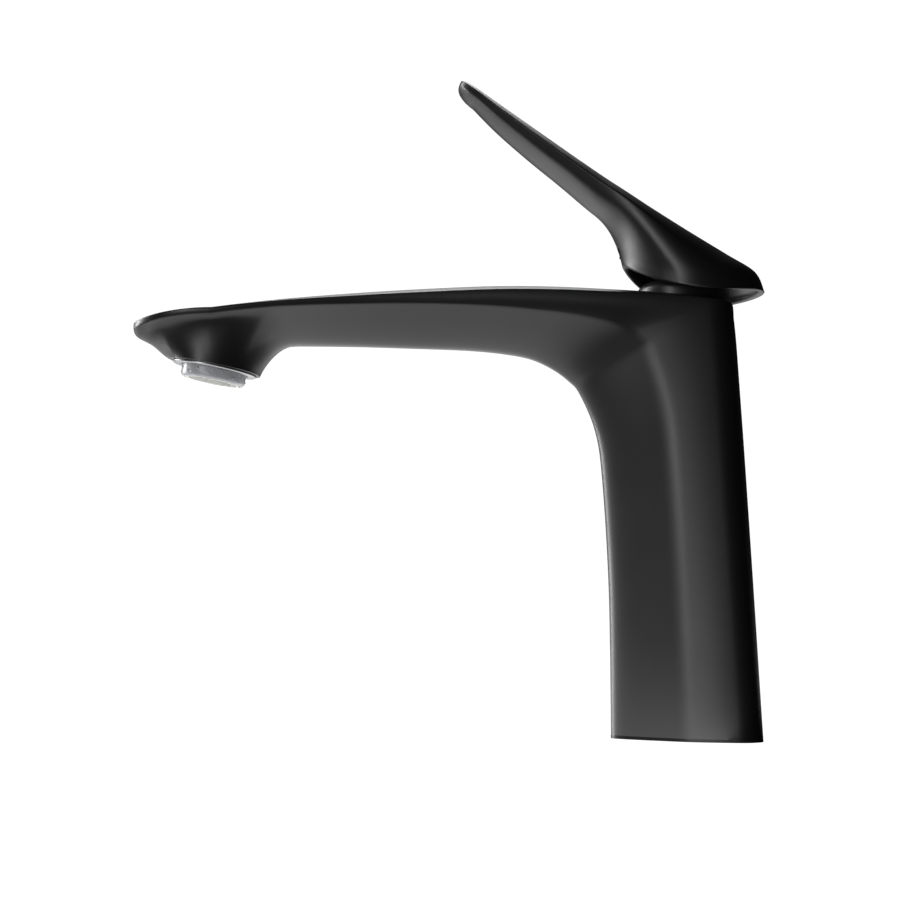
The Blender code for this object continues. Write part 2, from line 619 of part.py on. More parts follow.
def lever_rod(name, start, end, radius, mat):
    """Bar that runs forwards from the stem, square to it, at the set screw's height."""
    bar = rod(name, (0, -start, SCREW_HEIGHT), (0, -end, SCREW_HEIGHT), radius, mat, 12)
    return place(bar, PIVOT, LEVER_TILT)


def make_set_screw(mat):
    screw = lever_rod("set_screw", SPINDLE_HALF + GAP, SPINDLE_HALF + GAP + SCREW_LENGTH,
                      SCREW_RADIUS, mat)
    key = lever_rod("hex_key_tool", SPINDLE_HALF + 2.8 * MM, SPINDLE_HALF + 9 * MM, MM, mat)
    cut(screw, key)
    return screw


def make_index_plug(mat):
    """Small plug that closes the screw's hole in the front of the cup."""
    return lever_rod("index_plug", PLUG_START, PLUG_END, SCREW_RADIUS, mat)


# ---------------------------------------------------------------- aerator


def at_mouth(piece):
    return place(piece, MOUTH_CENTRE, MOUTH_TILT)


def make_aerator_housing(mat):
    """Threaded ring with a flange that closes the mouth."""
    inner = NOZZLE_RADIUS + 0.35 * MM
    profile = [(inner, -0.9 * MM), (13.9 * MM, -0.9 * MM), (13.9 * MM, -GAP),
               (12.25 * MM, -GAP), (12.25 * MM, 6.4 * MM), (8.6 * MM, 6.4 * MM),
               (8.6 * MM, 5.2 * MM), (inner, 5.2 * MM)]
    return at_mouth(turned("aerator_housing", profile, mat))


def make_aerator_washer(mat):
    profile = [(9.4 * MM, 6.8 * MM), (12.2 * MM, 6.8 * MM), (12.2 * MM, 7.9 * MM),
               (9.4 * MM, 7.9 * MM)]
    return at_mouth(turned("aerator_washer", profile, mat))


def make_inlet_screen(mat):
    """Dished screen that rests on the housing's inner shoulder."""
    profile = [(0, 5.4 * MM), (5.2 * MM, 5.4 * MM), (8.2 * MM, 6.0 * MM), (8.2 * MM, 7.6 * MM),
               (0, 6.6 * MM)]
    return at_mouth(turned("inlet_screen", profile, mat))


def make_nozzle(mat):
    """Swivelling nozzle: part of a sphere with a tapered lip below the mouth."""
    ball = []
    for degrees in (-6.4, 0, 8, 18):
        a = math.radians(degrees)
        ball.append((NOZZLE_RADIUS * math.cos(a), SWIVEL_CENTRE + NOZZLE_RADIUS * math.sin(a)))
    profile = [(7.6 * MM, -3.7 * MM), (9.3 * MM, -3.7 * MM), (9.3 * MM, -4.6 * MM),
               (9.8 * MM, -4.6 * MM), (10.6 * MM, -3.8 * MM)]
    profile += ball + [(8.6 * MM, 4.2 * MM), (7.6 * MM, 4.2 * MM)]
    return at_mouth(turned("swivel_nozzle", profile, mat))


def make_spray_grid(mat):
    profile = [(0, -4.7 * MM), (9.0 * MM, -4.7 * MM), (9.0 * MM, -3.9 * MM),
               (7.3 * MM, -3.9 * MM), (7.3 * MM, -2.2 * MM), (0, -2.2 * MM)]
    return at_mouth(turned("spray_grid", profile, mat))


def make_flow_regulator(mat):
    profile = [(0, -1.0 * MM), (7.3 * MM, -1.0 * MM), (7.3 * MM, 2.6 * MM), (0, 2.6 * MM)]
    return at_mouth(turned("flow_regulator", profile, mat))


# ---------------------------------------------------------------- build

def main():
    for old in list(bpy.data.objects):
        bpy.data.objects.remove(old, do_unlink=True)
    black = material("black_finish", (0.012, 0.012, 0.013), 0.38)
    brass = material("brass", (0.62, 0.45, 0.20), 0.30, 1.0)
    steel = material("steel", (0.60, 0.60, 0.60), 0.25, 1.0)
    rubber = material("black_rubber", (0.02, 0.02, 0.02), 0.8)
    white = material("white_plastic", (0.75, 0.75, 0.72), 0.4)
    ceramic = material("ceramic", (0.86, 0.85, 0.82), 0.15)
    clear = material("grey_plastic", (0.20, 0.21, 0.23), 0.35)
    make_body(black)
    make_gasket(rubber)
    make_cartridge_base(white)
    make_port_seals(rubber)
    make_fixed_disc(ceramic)
    make_moving_disc(ceramic)
    make_carrier(white)
    make_housing(white)
    make_turret(white)
    make_pin(steel)
    make_spindle(steel)
    make_retaining_nut(brass)
    make_limit_ring(white)
    make_dome_cap(black)
    make_lever(black)
    make_set_screw(steel)
    make_index_plug(black)
    make_aerator_housing(black)
    make_aerator_washer(rubber)
    make_inlet_screen(steel)
    make_nozzle(clear)
    make_spray_grid(white)
    make_flow_regulator(white)


main()
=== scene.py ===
"""Single-lever basin mixer, built up in the order a fitter would put it together.

Metres throughout: +Z up, the deck is z = 0, the spout points along -Y and x = 0 is
the mirror plane.
"""
import math

import bmesh
import bpy
from mathutils import Matrix, Vector
from mathutils.bvhtree import BVHTree


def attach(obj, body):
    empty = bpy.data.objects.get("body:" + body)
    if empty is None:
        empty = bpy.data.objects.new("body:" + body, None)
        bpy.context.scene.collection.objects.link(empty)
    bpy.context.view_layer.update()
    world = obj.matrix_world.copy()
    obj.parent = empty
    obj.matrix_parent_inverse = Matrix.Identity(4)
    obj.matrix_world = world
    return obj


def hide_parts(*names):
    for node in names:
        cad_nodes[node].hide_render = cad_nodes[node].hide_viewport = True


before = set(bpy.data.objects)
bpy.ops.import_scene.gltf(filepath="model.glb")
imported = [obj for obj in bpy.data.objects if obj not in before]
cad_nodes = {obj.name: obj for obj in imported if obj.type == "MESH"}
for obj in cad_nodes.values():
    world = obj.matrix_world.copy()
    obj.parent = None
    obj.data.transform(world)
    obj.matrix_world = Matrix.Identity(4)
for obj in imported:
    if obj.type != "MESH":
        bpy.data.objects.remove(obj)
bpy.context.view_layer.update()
MM = 0.001

# ------------------------------------------------------------------ body casting
# One brass casting makes the column, the bend and the leaf-shaped spout.  It is sprayed
# with a satin black coating, stands on the deck and is pulled down by a stud from below.

# Stations run from the deck up the column and out along the spout.  Each has a point on
# the inner line (column's front, spout's underside), the crease and the outer edge.
INNER_LINE = [(-25.3, 0), (-25.9, 48), (-28.1, 86), (-30.5, 101.7), (-35.5, 113.6),
              (-38.9, 117.6), (-44.1, 121.5), (-51.2, 124.9), (-60, 126.7), (-72, 127.9),
              (-90, 128.6), (-110, 129.2), (-131, 129.4), (-146, 129.2), (-155, 128.7)]
CREASE_LINE = [(-3.1, 0), (-5.4, 48), (-7.7, 88), (-9.6, 108), (-13.6, 124.2),
               (-17.2, 129.9), (-23.5, 133.9), (-36.1, 136.9), (-51, 138.9), (-68, 140.4),
               (-89, 141.1), (-110, 140.8), (-131, 139.9), (-146, 138.4), (-155, 137.3)]
EDGE_LINE = [(22.5, 0), (19.6, 48), (17.0, 90), (15.5, 113), (14.3, 131),
             (13.3, 141.3), (-4, 142.9), (-25, 144.2), (-45, 145.2), (-65, 145.4),
             (-88, 144.6), (-110, 143.4), (-131, 141.9), (-146, 140.4), (-155, 139.3)]
CREASE_HALF_WIDTH = [19.0, 18.8, 18.5, 18.3, 18.0, 18.0, 18.0, 18.0, 17.8, 17.4,
                     17.0, 17.3, 18.6, 19.7, 20.0]
EDGE_HALF_WIDTH = [24.2, 23.8, 23.2, 22.8, 22.5, 22.4, 22.2, 21.6, 20.4, 19.2,
                   18.0, 18.0, 19.2, 20.3, 20.6]
CROWN = [0.8, 0.8, 0.8, 0.8, 0.8, 1.6, 2.8, 3.2, 3.3, 3.3, 3.2, 3.0, 2.6, 2.2, 2.0]
CREASE_ROUNDING = [3.2, 3.2, 3.2, 3.0, 2.6, 2.0, 1.4, 1.0, 0.8, 0.7, 0.6, 0.6, 0.6, 0.6, 0.6]
CORNER = 5                           # station at the top rear corner
LAST = len(INNER_LINE) - 1
BACK_CORNER_RADIUS = 8.5
TOP_CORNER_RADIUS = 2.0
EDGE_ROUNDING = 0.45
TIP_LENGTH = 27.9
TIP_CREASE_DROP = 2.6
TIP_EDGE_DROP = 2.9
NECK_SWELL = 3.4
NECK_SWELL_REACH = 12.5
NECK_SWELL_WIDTH = 6.5
NOSE_POINTS = 26                     # points across half the inner face
FLANK_POINTS = 18
FACE_POINTS = 14

MOUTH_CENTRE = Vector((0, -156.1, 122.3)) * MM
MOUTH_TILT = math.radians(-11.0)
MOUTH_TURN = Matrix.Rotation(MOUTH_TILT, 3, 'X')
NECK_RADIUS = 15.2 * MM
NECK_FLARE = 24.5 * MM               # where the flare runs out into the underside
AXIS_Y = -1.0 * MM                   # cartridge, dome and lever stand on this axis
INLET_X, INLET_Y = 6.2 * MM, 5.0 * MM
STUD_Y = -7.0 * MM


def along(values, place):
    """Read a smooth curve through evenly numbered values (numbers or pairs)."""
    first = min(int(place), len(values) - 2)
    t = place - first
    near = [values[min(max(first + k, 0), len(values) - 1)] for k in (-1, 0, 1, 2)]

    def hermite(a, b, c, d):
        return ((2 * t ** 3 - 3 * t ** 2 + 1) * b + (t ** 3 - 2 * t ** 2 + t) * (c - a) / 2
                + (3 * t ** 2 - 2 * t ** 3) * c + (t ** 3 - t ** 2) * (d - b) / 2)

    if isinstance(near[0], (int, float)):
        return hermite(*near)
    return tuple(hermite(*axis) for axis in zip(*near))


def softened(curve, corners, q):
    """Point on a curve whose corners (place, reach before, reach after) are rounded off."""
    for corner, before, after in corners:
        if corner - before < q < corner + after:
            t = (q - corner + before) / (before + after)
            a, b, c = curve(corner - before), curve(corner), curve(corner + after)
            return a * (1 - t) ** 2 + b * 2 * t * (1 - t) + c * t ** 2
    return curve(q)


def outer_edge(station):
    """Side-view point of the outer edge, rounded at the top rear corner."""
    before, after = CORNER - 0.5, CORNER + 0.5
    y_corner, z_corner = EDGE_LINE[CORNER]
    if station <= before:
        reach = station * CORNER / before
        y, z = along(EDGE_LINE[:CORNER + 1], reach)
        return y, z - TOP_CORNER_RADIUS * (reach / CORNER) ** 4
    if station >= after:
        span = LAST - CORNER
        reach = (station - after) * span / (span - 0.5)
        y, z = along(EDGE_LINE[CORNER:], reach)
        return y - TOP_CORNER_RADIUS * max(1 - reach, 0), z
    angle = (station - before) * math.pi / 2
    return (y_corner - TOP_CORNER_RADIUS * (1 - math.cos(angle)),
            z_corner - TOP_CORNER_RADIUS * (1 - math.sin(angle)))


def past_back_corner(half_width, y, z):
    """Half width of the flank where it turns round the column's back corner."""
    back_y = EDGE_LINE[0][0] + (EDGE_LINE[CORNER][0] - EDGE_LINE[0][0]) * z / EDGE_LINE[CORNER][1]
    side = BACK_CORNER_RADIUS - min(max(back_y - y, 0), BACK_CORNER_RADIUS)
    return half_width - BACK_CORNER_RADIUS + math.sqrt(BACK_CORNER_RADIUS ** 2 - side ** 2)


def body_half_section(inner, crease, edge, crease_width, edge_width, crown, facing, rounding):
    """Points of half a section, from the inner centre line over the edge to the outer one."""
    def curve(q):
        if q < 1:                                        # inner face, a rounded nose
            s = 1 - q
            across = 3 * q * s * s * 0.24 + 3 * q * q * s * 0.62 + q ** 3
            rise = 3 * q * q * s * 0.56 + q ** 3
            return Vector((across * crease_width, inner[0] + rise * (crease[0] - inner[0]),
                           inner[1] + rise * (crease[1] - inner[1])))
        if q < 2:                                        # flank
            t = q - 1
            y = crease[0] + t * (edge[0] - crease[0])
            z = crease[1] + t * (edge[1] - crease[1])
            wide = crease_width + (edge_width - crease_width) * (1 - (1 - t) ** 2)
            return Vector((past_back_corner(wide, y, z), y, z))
        t = q - 2                                        # crowned outer face
        x = past_back_corner(edge_width, *edge) * (1 - t)
        rise = crown * (1 - (1 - t) ** 2)
        return Vector((x, edge[0] + rise * facing[0], edge[1] + rise * facing[1]))

    nose_length = math.hypot(crease_width, crease[0] - inner[0], crease[1] - inner[1])
    flank_length = max(math.hypot(crease[0] - edge[0], crease[1] - edge[1]), 0.3)
    before = min(rounding / nose_length, 0.2)
    after = min(rounding / flank_length, 0.45)
    edge_before = min(EDGE_ROUNDING / flank_length, 0.4)
    edge_after = EDGE_ROUNDING / max(edge_width, 1)
    corners = [(1, before, after), (2, edge_before, min(edge_after, 0.4))]
    stops = [(1 - before) * i / NOSE_POINTS for i in range(NOSE_POINTS)]
    stops += [1 - before + (before + after) * i / 6 for i in range(6)]
    low, high = 1 + after, 2 - edge_before
    stops += [low + (high - low) * i / FLANK_POINTS for i in range(FLANK_POINTS)]
    stops += [high + (edge_before + corners[1][2]) * i / 4 for i in range(4)]
    low = 2 + corners[1][2]
    stops += [low + (3 - low) * i / FACE_POINTS for i in range(FACE_POINTS + 1)]
    return [softened(curve, corners, q) for q in stops]


def body_sections():
    """Half sections from the deck to the end of the spout, and each one's station."""
    stations = [0.125 * i for i in range(36)] + [4.5 + 0.05 * i for i in range(20)]
    stations += [5.5 + 0.125 * i for i in range(69)]
    halves = []
    for station in stations:
        turn = min(max(station - CORNER + 0.5, 0), 1) * math.pi / 2
        halves.append(body_half_section(
            along(INNER_LINE, station), along(CREASE_LINE, station), outer_edge(station),
            along(CREASE_HALF_WIDTH, station), along(EDGE_HALF_WIDTH, station),
            along(CROWN, station), (math.cos(turn), math.sin(turn)),
            along(CREASE_ROUNDING, station)))
    inner_end, crease_end, edge_end = INNER_LINE[-1], CREASE_LINE[-1], EDGE_LINE[-1]
    steps = 40
    for i in range(1, steps + 1):                        # rounded end of the spout
        angle = math.radians(88.5) * i / steps
        reach, shrink = TIP_LENGTH * math.sin(angle), math.cos(angle)
        crease = (crease_end[0] - reach, crease_end[1] - TIP_CREASE_DROP * math.sin(angle) ** 2)
        edge = (edge_end[0] - reach, edge_end[1] - TIP_EDGE_DROP * math.sin(angle) ** 2)
        swelling = NECK_SWELL * math.exp(-((reach - NECK_SWELL_REACH) / NECK_SWELL_WIDTH) ** 2)
        depth = (crease_end[1] - inner_end[1] + swelling) * shrink
        halves.append(body_half_section(
            (inner_end[0] - reach, crease[1] - depth), crease, edge,
            CREASE_HALF_WIDTH[-1] * shrink, EDGE_HALF_WIDTH[-1] * shrink,
            CROWN[-1] * shrink ** 2, (0, 1), CREASE_ROUNDING[-1]))
    return halves


def mirrored(half):
    """A closed loop of points from half a section, in metres."""
    return [p * MM for p in half] + [Vector((-p.x, p.y, p.z)) * MM for p in reversed(half[1:-1])]


def new_piece(name, bm, sharp=None):
    """Turn a bmesh into a smooth-shaded object with outward faces."""
    bmesh.ops.recalc_face_normals(bm, faces=bm.faces)
    mesh = bpy.data.meshes.new(name)
    bm.to_mesh(mesh)
    bm.free()
    mesh.shade_smooth()
    if sharp is not None:
        mesh.set_sharp_from_angle(angle=math.radians(sharp))
    piece = bpy.data.objects.new(name, mesh)
    bpy.context.scene.collection.objects.link(piece)
    return piece


def skin(bm, loops, closed_ends=True):
    """Join loops of vertices with quads and close both ends."""
    for low, high in zip(loops, loops[1:]):
        for i in range(len(low)):
            j = (i + 1) % len(low)
            bm.faces.new((low[i], low[j], high[j], high[i]))
    if closed_ends:
        bm.faces.new(loops[0])
        bm.faces.new(loops[-1])


def at_mouth(across, ahead, height):
    """A point given from the mouth's centre: along X, along its plane and up its axis."""
    return MOUTH_CENTRE + MOUTH_TURN @ Vector((across, ahead, height))


def join_neck(bm, loops):
    """Replace the underside round the mouth with a flare that runs down into a round neck."""
    raw = BVHTree.FromBMesh(bm)
    up = MOUTH_TURN @ Vector((0, 0, 1))
    rear = min(range(len(loops)), key=lambda i: abs(loops[i][0].co.y + 0.128)
               + (1 if loops[i][0].co.z < 0.12 else 0))
    front = min(range(len(loops)), key=lambda i: abs(loops[i][0].co.y + 0.1795))
    count = len(loops[0])
    right, left = range(NOSE_POINTS, 0, -1), range(count - 1, count - NOSE_POINTS - 1, -1)
    rim = [loops[rear][i] for i in right] + [loops[rear][0]] + [loops[rear][i] for i in left]
    rim += [loops[j][count - NOSE_POINTS] for j in range(rear + 1, front)]
    rim += [loops[front][i] for i in reversed(left)] + [loops[front][0]]
    rim += [loops[front][i] for i in reversed(right)]
    rim += [loops[j][NOSE_POINTS] for j in range(front - 1, rear, -1)]
    inside = set(loops[j][i] for j in range(rear + 1, front)
                 for i in list(range(NOSE_POINTS)) + list(range(count - NOSE_POINTS + 1, count)))
    hidden = [f for f in bm.faces if all(v in inside or v in set(rim) for v in f.verts)
              and any(v in inside for v in f.verts)]
    corner_faces = [f for f in bm.faces if len(f.verts) == 4 and f not in hidden
                    and all(v in set(rim) for v in f.verts)]
    bmesh.ops.delete(bm, geom=hidden + corner_faces, context='FACES_ONLY')
    back = MOUTH_TURN.inverted()
    places = [back @ (v.co - MOUTH_CENTRE) for v in rim]
    steps = 34
    rings = []
    for k in range(steps):
        share = 1 - math.sqrt(1 - (k / steps) ** 2)
        ring = []
        for place in places:
            edge_radius = math.hypot(place.x, place.y)
            radius = NECK_RADIUS + share * (edge_radius - NECK_RADIUS)
            x, y = place.x / edge_radius * radius, place.y / edge_radius * radius
            hit = raw.ray_cast(at_mouth(x, y, -4 * MM), up, 0.04)[0]
            height = (hit - at_mouth(x, y, 0)).dot(up)
            limit = min(NECK_FLARE, edge_radius)
            s = min(max((radius - NECK_RADIUS) / (limit - NECK_RADIUS), 0), 1)
            power = 1 + 1.5 * min(max(1 - (height / MM - 3) / 11, 0), 1)
            ring.append(bm.verts.new(at_mouth(
                x, y, height * math.sqrt(1 - (1 - s) ** 2) ** power)))
        rings.append(ring)
    turn = [math.atan2(place.y, place.x) for place in places]
    for radius, height in ((14.35, -0.12), (12.9, -0.12), (12.6, 0.1), (12.6, 8.2)):
        rings.insert(0, [bm.verts.new(at_mouth(radius * MM * math.cos(a),
                                               radius * MM * math.sin(a), height * MM))
                         for a in turn])
    skin(bm, rings + [rim], closed_ends=False)
    bm.faces.new(rings[0])
    bmesh.ops.delete(bm, geom=[v for v in inside if v.is_valid and not v.link_faces],
                     context='VERTS')


def cut_away(piece, *tools):
    """Take closed tool shapes out of a piece and leave a plain mesh."""
    for tool in tools:
        step = piece.modifiers.new("cut", 'BOOLEAN')
        step.operation, step.object, step.solver = 'DIFFERENCE', tool, 'EXACT'
    graph = bpy.context.evaluated_depsgraph_get()
    mesh = bpy.data.meshes.new_from_object(piece.evaluated_get(graph))
    piece.modifiers.clear()
    piece.data = mesh
    for tool in tools:
        bpy.data.objects.remove(tool)


def turned_tool(profile, centre, sides=96):
    """Closed solid turned about Z from (radius, height) pairs in millimetres."""
    bm = bmesh.new()
    angles = [math.tau * i / sides for i in range(sides)]
    skin(bm, [[bm.verts.new(Vector((r * math.cos(a), r * math.sin(a), z)) * MM + Vector(centre))
               for a in angles] for r, z in profile])
    return new_piece("tool", bm)


class Shade:
    """A socket that grows its own Math nodes when it is used in an expression."""

    def __init__(self, finish, socket):
        self.finish, self.socket = finish, socket

    def grow(self, operation, first, second):
        return self.finish.node('ShaderNodeMath', {'operation': operation}, {0: first, 1: second})

    def __add__(self, other): return self.grow('ADD', self, other)
    def __radd__(self, other): return self.grow('ADD', other, self)
    def __mul__(self, other): return self.grow('MULTIPLY', self, other)


class Finish:
    """A material, with its Principled shader and one method that adds any other node."""

    def __init__(self, name, colour, roughness, metallic=0.0, **constants):
        self.material = bpy.data.materials.new(name)
        self.material.use_nodes = True
        self.nodes = self.material.node_tree.nodes
        self.shader = self.nodes["Principled BSDF"]
        self.shader.inputs["Base Color"].default_value = (*colour, 1)
        self.shader.inputs["Roughness"].default_value = roughness
        self.shader.inputs["Metallic"].default_value = metallic
        for socket, value in constants.items():
            self.shader.inputs[socket.replace("_", " ")].default_value = value
        self.place = self.node('ShaderNodeTexCoord', output="Object")

    def feed(self, socket, value):
        if isinstance(value, Shade):
            self.material.node_tree.links.new(value.socket, socket)
        else:
            socket.default_value = value

    def node(self, kind, settings={}, inputs={}, output=0):
        made = self.nodes.new(kind)
        for key, value in settings.items():
            setattr(made, key, value)
        for key, value in inputs.items():
            self.feed(made.inputs[key], value)
        return Shade(self, made.outputs[output])

    def noise(self, size, detail=2.0, place=None):
        """Soft noise whose features are about this many metres across."""
        return self.node('ShaderNodeTexNoise', {}, {
            "Vector": place or self.place, "Scale": 1 / size, "Detail": detail})

    def blend(self, factor, first, second):
        return self.node('ShaderNodeMix', {'data_type': 'RGBA'},
                         {0: factor, 6: (*first, 1), 7: (*second, 1)}, output=2)

    def bump(self, height, distance, strength=1.0):
        self.feed(self.shader.inputs["Normal"], self.node('ShaderNodeBump', {}, {
            "Height": height, "Distance": distance, "Strength": strength}))

    def set(self, socket, value):
        self.feed(self.shader.inputs[socket], value)


def satin_black():
    """Sprayed coating: fine orange peel, a few dust nibs, and slow changes of sheen."""
    finish = Finish("satin_black_coating", (0.010, 0.010, 0.011), 0.36, IOR=1.5)
    peel = finish.noise(0.45 * MM, 3)
    cloud = finish.noise(22 * MM, 2)
    speck = finish.noise(0.16 * MM, 1)
    finish.set("Base Color", finish.blend(cloud, (0.0085, 0.0086, 0.0092),
                                          (0.0115, 0.0114, 0.0120)))
    finish.set("Roughness", 0.335 + cloud * 0.05 + peel * 0.03)
    finish.bump(peel + speck * 0.4, 0.006 * MM, 0.5)
    return finish.material


coating = satin_black()

bm = bmesh.new()
body_loops = [[bm.verts.new(p) for p in mirrored(half)] for half in body_sections()]
skin(bm, body_loops)
join_neck(bm, body_loops)
body = new_piece("body_casting_finished", bm, sharp=35)
cut_away(body,
         turned_tool([(15.5, 142.0), (15.5, 155)], (0, AXIS_Y, 0)),
         turned_tool([(13.3, 112.0), (13.3, 143)], (0, AXIS_Y, 0)),
         turned_tool([(5.0, -1), (5.0, 22)], (-INLET_X, INLET_Y, 0), 48),
         turned_tool([(5.0, -1), (5.0, 22)], (INLET_X, INLET_Y, 0), 48),
         turned_tool([(3.4, -1), (3.4, 25)], (0, STUD_Y, 0), 48))
body.data.materials.append(coating)
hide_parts("body_casting")
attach(body, "root")

# ------------------------------------------------------------------ deck gasket
# A moulded rubber ring sits in a groove under the column and seals it to the deck.

def moulded_rubber():
    """Dull rubber with a fine moulded grain and a little bloom."""
    finish = Finish("moulded_rubber", (0.02, 0.02, 0.02), 0.72)
    grain = finish.noise(0.3 * MM, 3)
    bloom = finish.noise(4 * MM, 2)
    finish.set("Base Color", finish.blend(bloom, (0.016, 0.016, 0.016), (0.030, 0.030, 0.029)))
    finish.set("Roughness", 0.62 + grain * 0.2)
    finish.bump(grain, 0.02 * MM, 0.6)
    return finish.material


def dress(finish, *names):
    """Give CAD nodes that keep their own shape a real finish."""
    for name in names:
        cad_nodes[name].data.materials.clear()
        cad_nodes[name].data.materials.append(finish)


rubber = moulded_rubber()
dress(rubber, "deck_gasket")

# ------------------------------------------------------------------ cartridge
# A ceramic-disc cartridge stands in the column's bore: white moulded plastic round two
# lapped ceramic discs, held down by a turned brass nut and worked by a steel stem.

def moulded_plastic(name, colour, roughness):
    """Injection-moulded plastic with slight sink and a fine spark-eroded texture."""
    finish = Finish(name, colour, roughness)
    texture = finish.noise(0.2 * MM, 2)
    sink = finish.noise(6 * MM, 1)
    darker = tuple(c * 0.93 for c in colour)
    finish.set("Base Color", finish.blend(sink, darker, colour))
    finish.set("Roughness", roughness - 0.05 + texture * 0.1)
    finish.bump(texture, 0.008 * MM, 0.5)
    return finish.material


def lapped_ceramic():
    """Dense alumina, lapped nearly to a mirror, with faint cloudiness."""
    finish = Finish("lapped_ceramic", (0.86, 0.85, 0.81), 0.12)
    cloud = finish.noise(3 * MM, 3)
    finish.set("Base Color", finish.blend(cloud, (0.82, 0.80, 0.76), (0.88, 0.87, 0.84)))
    finish.set("Roughness", 0.09 + cloud * 0.08)
    finish.bump(finish.noise(0.1 * MM, 1), 0.001 * MM, 0.5)
    return finish.material


def turned_metal(name, colour, roughness, pitch=0.18 * MM):
    """Metal off the lathe: fine rings along the axis, uneven from cut to cut."""
    finish = Finish(name, colour, roughness, metallic=1.0)
    rings = finish.node('ShaderNodeTexWave', {'wave_type': 'BANDS', 'bands_direction': 'Z'},
                        {"Vector": finish.place, "Scale": 1 / (20 * pitch),
                         "Distortion": 0.4, "Detail": 2.0}, output=1)
    stain = finish.noise(5 * MM, 2)
    darker = tuple(c * 0.85 for c in colour)
    finish.set("Base Color", finish.blend(stain, darker, colour))
    finish.set("Roughness", roughness + rings * 0.08 + stain * 0.05)
    finish.bump(rings, 0.004 * MM, 0.6)
    return finish.material


white_plastic = moulded_plastic("white_moulded_plastic", (0.78, 0.78, 0.75), 0.42)
ceramic = lapped_ceramic()
steel = turned_metal("turned_steel", (0.60, 0.60, 0.60), 0.24)
brass = turned_metal("turned_brass", (0.72, 0.53, 0.24), 0.28)
dress(rubber, "hot_port_seal", "cold_port_seal", "outlet_port_seal")
dress(white_plastic, "cartridge_base", "disc_carrier", "cartridge_housing", "turret",
      "temperature_limit_ring")
dress(ceramic, "fixed_ceramic_disc", "moving_ceramic_disc")
dress(steel, "lever_pin", "spindle")
dress(brass, "retaining_nut")

# ------------------------------------------------------------------ dome cap
# A thin turned brass cover screws down over the nut, coated like the body.  The hole in
# its middle leaves room for the lever's stem.

DOME_LINE = [(13.8, 142.3), (15.0, 142.3), (15.2, 142.5), (15.2, 147.1), (15.05, 147.8),
             (14.6, 148.5), (14.0, 149.05), (13.3, 149.5), (12.5, 149.9), (11.6, 150.2),
             (10.6, 150.45), (9.9, 150.6), (9.65, 150.5), (9.6, 150.2), (9.6, 149.4),
             (11.4, 149.0), (13.0, 148.0), (13.8, 146.8)]


def rounded_line(line):
    """Cut the corners of a closed line."""
    return [(a[0] + (b[0] - a[0]) * t, a[1] + (b[1] - a[1]) * t)
            for a, b in zip(line, line[1:] + line[:1]) for t in (0.2, 0.8)]


class Tree:
    """A geometry node tree with named inputs, built a node at a time."""

    def __init__(self, name, **sizes):
        self.tree = bpy.data.node_groups.new(name, 'GeometryNodeTree')
        self.sockets = {}
        face = self.tree.interface
        face.new_socket("Geometry", in_out='INPUT', socket_type='NodeSocketGeometry')
        for key, value in sizes.items():
            kind = {int: 'NodeSocketInt', float: 'NodeSocketFloat'}.get(
                type(value), 'NodeSocketMaterial')
            self.sockets[key] = (face.new_socket(key, in_out='INPUT', socket_type=kind), value)
        face.new_socket("Geometry", in_out='OUTPUT', socket_type='NodeSocketGeometry')
        self.given = self.tree.nodes.new('NodeGroupInput')
        self.out = self.tree.nodes.new('NodeGroupOutput')

    def size(self, name):
        return self.given.outputs[name]

    def node(self, kind, settings={}, inputs={}):
        made = self.tree.nodes.new(kind)
        for key, value in settings.items():
            setattr(made, key, value)
        for key, value in inputs.items():
            socket = made.inputs[key]
            if isinstance(value, bpy.types.NodeSocket):
                self.tree.links.new(value, socket)
            else:
                socket.default_value = value
        return made

    def maths(self, operation, *values):
        return self.node('ShaderNodeMath', {'operation': operation},
                         dict(enumerate(values))).outputs[0]

    def make(self, name, geometry, seed_mesh):
        """Finish the tree, run it on a seed mesh and keep the result as a plain piece."""
        real = self.node('GeometryNodeRealizeInstances', {}, {"Geometry": geometry})
        coat = self.node('GeometryNodeSetMaterial', {}, {"Geometry": real.outputs[0],
                                                         "Material": self.size("Finish")})
        self.tree.links.new(coat.outputs[0], self.out.inputs[0])
        piece = bpy.data.objects.new(name, seed_mesh)
        bpy.context.scene.collection.objects.link(piece)
        step = piece.modifiers.new("made", 'NODES')
        step.node_group = self.tree
        for socket, value in self.sockets.values():
            step[socket.identifier] = value
        graph = bpy.context.evaluated_depsgraph_get()
        mesh = bpy.data.meshes.new_from_object(piece.evaluated_get(graph))
        piece.modifiers.clear()
        piece.data = mesh
        return piece


def line_mesh(line):
    """The outline to be turned, as loose points (radius, 0, height) in metres."""
    mesh = bpy.data.meshes.new("outline")
    mesh.from_pydata([(r * MM, 0, z * MM) for r, z in line], [], [])
    return mesh


def place_mesh(piece, matrix, sharp=40):
    """Move a piece's mesh to its place, close it, turn its faces out and smooth it."""
    bm = bmesh.new()
    bm.from_mesh(piece.data)
    bmesh.ops.transform(bm, matrix=matrix, verts=bm.verts)
    bmesh.ops.remove_doubles(bm, verts=bm.verts, dist=1e-7)
    bmesh.ops.recalc_face_normals(bm, faces=bm.faces)
    bm.to_mesh(piece.data)
    bm.free()
    piece.data.shade_smooth()
    piece.data.set_sharp_from_angle(angle=math.radians(sharp))
    return piece


